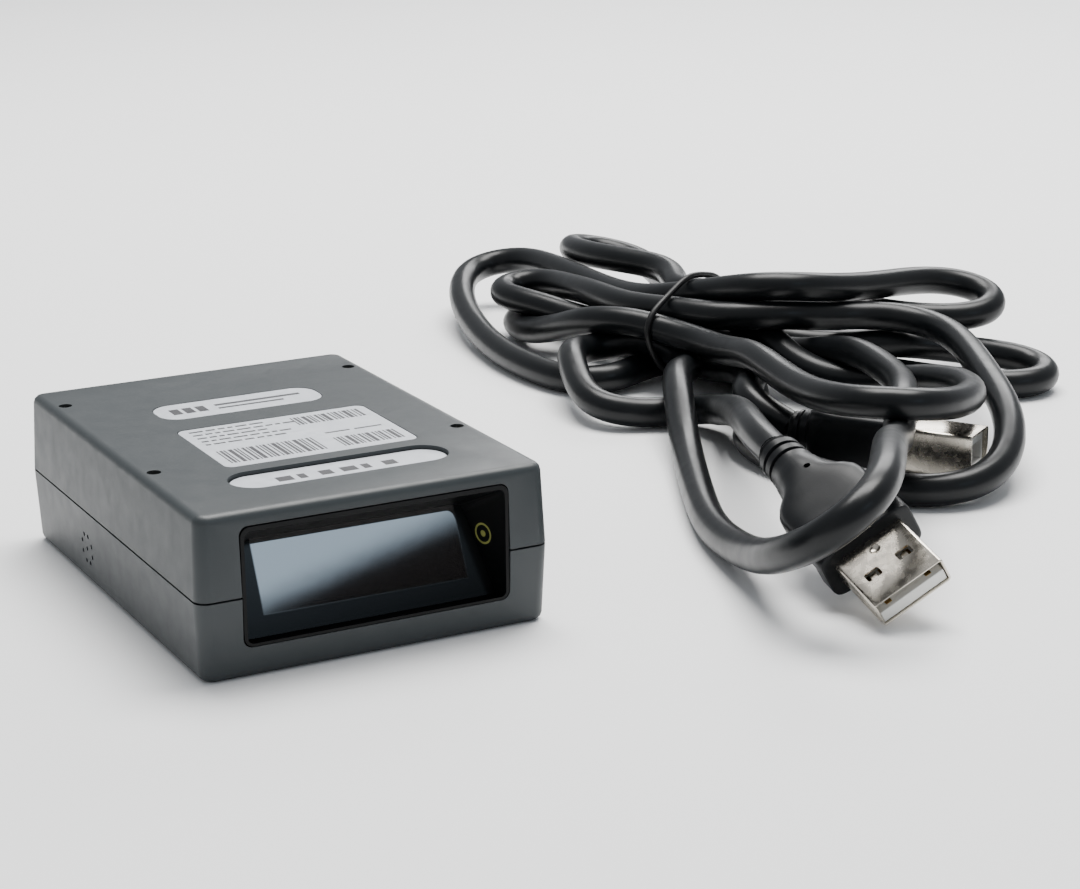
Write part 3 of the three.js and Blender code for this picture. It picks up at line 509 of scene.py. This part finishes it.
def settled(home, rounds, solids):
    """The line with its runs pushed off one another, off the floor and off the plugs.

    `solids` are the rods that stand for the plugs: two ends and a radius each.
    """
    index = np.arange(len(home))
    step = np.linalg.norm(np.diff(home, axis=0), axis=1).mean()
    tie, along, across = (np.array(v) for v in (TIE, ALONG, ACROSS))
    shift = np.zeros_like(home)
    for n in range(rounds):
        line = home + shift
        if n % 6 == 0:
            gaps = ((line[:, None] - line[None]) ** 2).sum(2)
            i, j = np.nonzero((gaps < (NEIGHBOUR * CORD) ** 2)
                              & (index[:, None] - index[None] > OWN_RUN * CORD / step))
        apart = line[i] - line[j]
        length = np.linalg.norm(apart, axis=1) + 1e-9
        push = np.clip(CORD * APART - length, 0, None) * 0.5
        move = np.zeros_like(line)
        count = np.zeros(len(line))
        for ends, sign in ((i, 1), (j, -1)):
            np.add.at(move, ends, sign * apart / length[:, None] * push[:, None])
            np.add.at(count, ends, push > 0)
        move /= np.maximum(1, count * 0.5)[:, None]
        for a, b, r in solids:
            near = np.clip(((line - a) @ (b - a)) / ((b - a) @ (b - a)), 0, 1)
            off = line - (a + near[:, None] * (b - a))
            far = np.linalg.norm(off, axis=1) + 1e-9
            move += off / far[:, None] * np.clip(r + CORD / 2 - far, 0, None)[:, None] * 0.5
        beside = (line - tie) @ across
        past = (line - tie) @ along
        lift = TIE_LIFT * np.exp(-(past / TIE_RAMP) ** 2) * (np.abs(beside) < BUNDLE)
        ground = CORD / 2 + 0.05 + lift
        move[:, 2] += np.clip(ground - line[:, 2], 0, None)
        shift = softened(shift + softened(move, 6) * 1.3, 1)
        shift[:2] = shift[-2:] = 0
    line = home + shift
    line[:, 2] = np.maximum(line[:, 2], CORD / 2 + 0.02)
    return line


def plug_place(mouth, out, up):
    """A plug's own frame: its mouth at the origin, y out of the mouth and z up."""
    y = Vector(out).normalized()
    x = y.cross(Vector(up)).normalized()
    place = Matrix((x, y, x.cross(y))).transposed().to_4x4()
    place.translation = Vector(mouth) * MM
    return place


FLAT = plug_place((71, -65.65, 5.25), (-0.081, -0.971, -0.227), (-0.555, -0.145, 0.819))
SQUARE = plug_place((121, -15.5, 5.7), (0.55, -0.835, 0), (0, 0, 1))


def capsule(place, x, y0, y1, z, radius):
    """A rod along a plug's y that the cord keeps out of: its two ends and its radius."""
    ends = [np.array(place @ (Vector((x, y, z)) * MM)) / MM for y in (y0, y1)]
    return (*ends, radius)


STEP = 2.0                                         # between points while the line settles
SETTLING = ((7, 60, 150), (7.5, 40, 120), (6, 15, 80))   # bend radius, rounds of bending and of settling
LAST_BEND = (6.5, 60)                              # the same for the end: bend radius, rounds of bending


def lead_line():
    """The cord's centre line, from the square plug to the flat plug."""
    solids = [capsule(FLAT, x, -31, -13, 0, 4.3) for x in (-3.7, 0, 3.7)]
    solids += [capsule(SQUARE, x, -28, -4, z, 4.2) for x in (-1.6, 1.6) for z in (-1, 1)]
    knots = []
    for leg in ROUTE:
        if isinstance(leg, str):
            knots += through_tie(leg[1:], 1 if leg[0] == ">" else -1)
        else:
            knots += [Vector(p) for p in leg]
    run = spaced(softened(spline(np.array(knots), STEP), 10), STEP)
    for radius, bends, rounds in SETTLING:
        run = settled(spaced(blunted(run, radius, bends), STEP), rounds, solids)
    return spline(softened(blunted(softened(run, 4), *LAST_BEND), 3), STEP / 2)


line = lead_line()


def round_cord(name, points, thickness, smoothness, closed=False):
    """A round cord of one thickness along the points, in millimetres."""
    made = bpy.data.curves.new(name, "CURVE")
    made.dimensions = "3D"
    made.bevel_depth = thickness / 2 * MM
    made.bevel_resolution = smoothness
    made.use_fill_caps = not closed
    run = made.splines.new("POLY")
    run.points.add(len(points) - 1)
    run.points.foreach_set("co", np.c_[points * MM, np.ones(len(points))].astype(np.float32).ravel())
    run.use_cyclic_u = closed
    run.use_smooth = True
    thing = bpy.data.objects.new(name, made)
    bpy.context.scene.collection.objects.link(thing)
    return thing


lead = round_cord("lead", line, CORD, 8)
lead.data.materials.append(LOOKS["cord_black"])
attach(lead, "scanner")
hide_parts("lead_hank", "lead_front_loop", "lead_side_loop", "lead_usb_a_run", "lead_usb_b_run")


def tie_loop():
    """A thin loop pulled tight round the runs where they pass through the tie's plane."""
    tie, along, across = (np.array(v) for v in (TIE, ALONG, ACROSS))
    off = (line - tie) @ along
    side = (line - tie) @ across
    crossing = (np.abs(off) < 1.6) & (np.abs(side) < BUNDLE)
    section = np.stack([side[crossing], line[crossing, 2]], 1)
    around = CORD / 2 + 0.8                              # from a run's centre to the tie's
    lowest = 0.62                                        # the tie's own half thickness off the floor
    count = 96
    ring = []
    for k in range(count):
        turn = 2 * math.pi * k / count
        out = np.array([math.cos(turn), math.sin(turn)])
        best = section[np.argmax(section @ out)] + out * around
        ring.append(tie + across * best[0] + np.array([0, 0, max(best[1], lowest)]))
    ring = spaced(np.array(ring + ring[:1]), 1.0)[:-1]
    for _ in range(10):
        ring = ring * 0.5 + (np.roll(ring, 1, 0) + np.roll(ring, -1, 0)) * 0.25
    thing = round_cord("tie", ring, TIE_THICKNESS, 4, closed=True)
    thing.data.materials.append(LOOKS["tie_black"])
    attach(thing, "scanner")
    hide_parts("lead_tie")
    return thing


tie = tie_loop()


# ---- The two plugs, each in its own frame: y is 0 at the mouth and falls towards the cord ---------

SHELL_DEPTH = 14.8


def shell_rings(half_width, half_height, wall, radius):
    """A metal shell: the inside from its bottom to the mouth, round the lip, and the outside back."""
    inner = (half_width - wall, half_height - wall, max(0.1, radius - wall))
    outer = (half_width, half_height, radius)
    return [rounded(-SHELL_DEPTH + wall, *inner), rounded(-0.08, *inner),
            rounded(0, inner[0] + 0.1, inner[1] + 0.1, inner[2] + 0.1),
            rounded(0, outer[0] - 0.08, outer[1] - 0.08, outer[2] - 0.05), rounded(-0.1, *outer),
            rounded(-SHELL_DEPTH, *outer)]


def ridge_rings(start, radius, pitch, count):
    """The strain relief: ridges with grooves between them, each a little thinner than the last."""
    rings = []
    for k in range(count):
        y = start - k * pitch
        for step, r in ((0, radius), (pitch * 0.55, radius), (pitch * 0.62, radius - 0.55),
                        (pitch * 0.93, radius - 0.6)):
            rings.append(oval(y - step, r - k * 0.12, r - k * 0.12))
    return rings


def lofted(name, rings, place, slot, smooth):
    """A lofted piece that stands for the CAD node of its name."""
    mesh = loft(name + "_look", rings, place)
    return piece(name + "_look", mesh, slot, smooth=smooth, replaces=[name])


def standing(x, y, z):
    """A place in the flat plug where a loft runs up and down in place of along the plug."""
    return FLAT @ Matrix.Translation(Vector((x, y, z)) * MM) @ Matrix.Rotation(math.pi / 2, 4, "X")


LATCHES = (-2.75, 2.75)                            # the two latch windows, to the left and right


def flat_plug_shell():
    """The flat metal shell with its two latch windows and the dent behind them."""
    made = lofted("usb_a_shell", shell_rings(6, 2.25, 0.32, 0.55), FLAT, "plug_shell", 40)
    carve(made, [loft("window", [rounded(z, 1.25, 0.95, 0.35, 3) for z in (-0.8, 0.8)],
                      standing(x, -5.6, 2.1)) for x in LATCHES])
    dent = bmesh.new()
    bmesh.ops.create_uvsphere(dent, u_segments=24, v_segments=16, radius=1.5 * MM)
    dent.transform(FLAT @ Matrix.Translation(Vector((0, -9.7, 3.45)) * MM))
    ball = bpy.data.meshes.new("dent")
    dent.to_mesh(ball)
    dent.free()
    carve(made, [ball])
    return made


def flat_plug_parts():
    """The latch springs, the shell's seam, the tongue and its four contacts."""
    springs = [((x - 0.55, x + 0.55), (-6.5, -5.0), (1.3, 1.5)) for x in LATCHES]
    seam = [((-0.03, 0.03), (-11.5, -0.12), (-2.262, -2.2))]
    tongue = [((-5.55, 5.55), (-14, -0.35), (-1.85, 0.1))]
    contacts = [((x - 0.5, x + 0.5), (-8, -1.1 - (abs(x) < 2) * 0.9), (0.06, 0.2))
                for x in (-3.5, -1, 1, 3.5)]
    return [piece("usb_a_springs", bars("usb_a_springs", springs, FLAT), "plug_shell", bevel=0.05),
            piece("usb_a_seam", bars("usb_a_seam", seam, FLAT), "plug_shell", ink="ink"),
            piece("usb_a_tongue_look", bars("usb_a_tongue_look", tongue, FLAT), "white_plastic",
                  bevel=0.12, replaces=["usb_a_tongue"]),
            piece("usb_a_contacts", bars("usb_a_contacts", contacts, FLAT), "brass", bevel=0.05,
                  ink="contact_gold")]


# Grips, from the shell to the strain relief: y, half width, half height, power of the oval.
FLAT_GRIP = (
    (-12, 7.3, 3.55, 5), (-12.02, 7.75, 4.0, 5.5), (-12.2, 7.98, 4.22, 6), (-12.5, 8.05, 4.28, 6),
    (-15.2, 8.05, 4.28, 6), (-15.5, 7.95, 4.18, 6), (-15.75, 7.6, 3.9, 5.5), (-19, 7.6, 3.9, 5),
    (-25.5, 7.6, 3.95, 4.4), (-27.2, 7.4, 4.0, 4), (-28.6, 6.7, 4.05, 3.4), (-29.8, 5.7, 4.1, 2.9),
    (-31.2, 4.9, 4.12, 2.5), (-33, 4.5, 4.1, 2.2), (-35, 4.15, 4.0, 2.05))
SQUARE_GRIP = (
    (-12, 5.0, 4.5, 5), (-12.05, 5.4, 4.9, 6), (-12.4, 5.72, 5.2, 7), (-26, 5.72, 5.2, 7),
    (-28, 5.5, 5.0, 5), (-29.4, 4.8, 4.5, 3.6), (-30, 4.0, 4.0, 2.6), (-30.4, 3.7, 3.7, 2))


def flat_plug_grip():
    """The moulded grip with a small round dimple on its upper face."""
    rings = [oval(*ring) for ring in FLAT_GRIP]
    rings += ridge_rings(-35.8, 3.85, 2.2, 3) + [oval(-42.6, 3.2, 3.2), oval(-43, 2.9, 2.9)]
    made = lofted("usb_a_grip", rings, FLAT, "plug_black", 30)
    dimple = [oval(z, 0.55, 0.55, count=20) for z in (-0.6, 0.9)]
    carve(made, [loft("dot", dimple, standing(-1.2, -31.5, 3.8))])
    return made


def square_plug():
    """The square shell, the white block inside it, and the grip."""
    lofted("usb_b_shell", shell_rings(4.225, 3.89, 0.4, 0.7), SQUARE, "plug_shell", 40)
    block = [rounded(-14.2, 3.65, 3.3, 0.3), rounded(-1, 3.65, 3.3, 0.3), rounded(-0.8, 3.5, 3.15, 0.3),
             rounded(-0.8, 2.95, 1.75, 0.2), rounded(-9, 2.9, 1.7, 0.2)]
    lofted("usb_b_insert", block, SQUARE, "white_plastic", 35)
    rings = [oval(*ring) for ring in SQUARE_GRIP]
    rings += ridge_rings(-31, 3.6, 1.1, 2) + [oval(-33.7, 3.15, 3.15), oval(-34, 2.9, 2.9)]
    lofted("usb_b_grip", rings, SQUARE, "plug_black", 30)


flat_plug = [flat_plug_shell(), *flat_plug_parts(), flat_plug_grip()]
square_plug()


# ---- The scanner -------------------------------------------------------------------------------------

SKINS = {   # CAD nodes shown in their own shape, and how much their edges are taken off
    "upper_shell": 0.0, "lower_shell": 0.0, "window_hood": 0.0, "window_pane": 0.0,
    "name_plate": 0.06, "data_label": 0.04, "slot_label": 0.04, "mount_insert_1": 0.0,
    "mount_insert_2": 0.0, "mount_insert_3": 0.0, "mount_insert_4": 0.0, "usb_socket_shell": 0.0}

for node, bevel in SKINS.items():
    skin(node, bevel)

TOP = 23.95                                        # the printed face of the plate and the data label
SLOT_TOP = 23.4                                    # the printed face of the slot label
FILM = 0.02                                        # thickness of the print
LEFT_EDGE = -12.6                                  # where the lines of print start
DASHES = (1.5, 0.8, 2.2, 1.1, 1.8)
BARS = (0.22, 0.4, 0.22, 0.62, 0.3)
BAR_GAPS = (0.3, 0.22, 0.45)


def block(start, end, low, high, top=TOP):
    """A printed rectangle: its x from start to end, its y from low to high."""
    return (start, end), (low, high), (top, top + FILM)


def dashed_line(y, reach):
    """Broken dashes where a line of print would be."""
    made = []
    x = LEFT_EDGE
    while x < LEFT_EDGE + reach:
        wide = DASHES[(len(made) * 3 + int(reach)) % 5]
        made.append(block(x, x + wide, y - 0.28, y + 0.28))
        x = x + wide + 0.45
    return made


def bar_group(x, end, low, high):
    """Plain bars where a code would be."""
    made = []
    while x < end:
        k = len(made)
        made.append(block(x, x + BARS[k % 5], low, high))
        x = x + BARS[k % 5] + BAR_GAPS[k % 3]
    return made


def label_print():
    """All the print on the three labels, as one thin piece."""
    made = []
    for y, reach in ((2.9, 12), (1.1, 15), (-0.7, 10), (-2.5, 13.5), (-4.3, 11)):
        made += dashed_line(y, reach)
    for group in ((3.6, 14.6, -1.2, 2.9), (LEFT_EDGE, 2.4, -14.8, -8.2), (5.2, 14.6, -14.8, -10)):
        made += bar_group(*group)
    made += [block(x, x + reach, -7.4, -6.9) for x, reach in ((5.2, 4), (10, 4.4))]
    made += [block(-11 + k * 2.1, -9.5 + k * 2.1, 13.4, 16.4) for k in range(3)]
    made += [block(-3.6, 10.6, 15.3, 16.2), block(-3.6, 7.2, 13.5, 14.2)]
    for k, wide in enumerate((2.4, 1.2, 1.9, 2.4, 1.2, 2.0)):
        start = -9.4 + k * 3.3
        made.append(block(start, start + wide, -24.9, -22.8, SLOT_TOP))
    return piece("label_print", bars("label_print", made), "label_silver", ink="ink")


label_print()

MARK_AT = Vector((18.7, -32.5, 13.3)) * MM
MARK_RINGS = ((1.3, 1.62), (0.0, 0.5))             # inner and outer radius of the ring and of the dot


def laser_mark():
    """A plain ring and dot on the flared wall right of the window, as a thin film on that wall."""
    mesh = NODES["window_hood"].data
    tree = BVHTree.FromPolygons([v.co for v in mesh.vertices], [p.vertices for p in mesh.polygons])
    hit, normal, _, _ = tree.ray_cast(CAMERA, (MARK_AT - CAMERA).normalized())
    if hit is None or (hit - MARK_AT).length > 6 * MM:
        hit, normal, _, _ = tree.find_nearest(MARK_AT)
    if normal.dot(CAMERA - hit) < 0:
        normal = -normal
    up = (Vector((0, 0, 1)) - normal * normal.z).normalized()
    side = up.cross(normal)
    count = 32
    points = []
    faces = []
    for radii in MARK_RINGS:
        start = len(points)
        for k in range(count):
            turn = 2 * math.pi * k / count
            out = side * math.cos(turn) + up * math.sin(turn)
            points += [hit + out * (r * MM) + normal * (0.03 * MM) for r in radii]
            ring = (2 * k, 2 * k + 1, (2 * k + 3) % (2 * count), (2 * k + 2) % (2 * count))
            faces.append([start + corner for corner in ring])
    return piece("laser_mark", mesh_of("laser_mark", points, faces), "hood_black", ink="mark_olive")


laser_mark()


def add_card():
    """A soft light in front that the window mirrors: bright above, dark below, with a soft edge."""
    glow = Look("card_light", (0, 0, 0), 1)
    glow.put("Specular IOR Level", 0)
    height = glow.node("ShaderNodeVectorMath", operation="DOT_PRODUCT")
    height.inputs[1].default_value = (0.05, 0, 1)
    glow.join(glow.space, height.inputs[0])
    glow.put("Emission Color", (0.65, 0.83, 1, 1))
    strength = glow.ranged(height.outputs["Value"], -0.01, 0.011, 0.0, 5.2,
                           interpolation_type="SMOOTHSTEP")
    glow.join(strength, glow.surface.inputs["Emission Strength"])
    card = stage_sheet("card", 0.13, 0.08, True, glow.material)
    window = Vector((0, -0.031, 0.011))
    mirrored_view = Vector((0.376, -0.807, 0.446)).normalized()
    card.location = window + mirrored_view
    card.rotation_euler = mirrored_view.to_track_quat("Y", "Z").to_euler()


add_card()
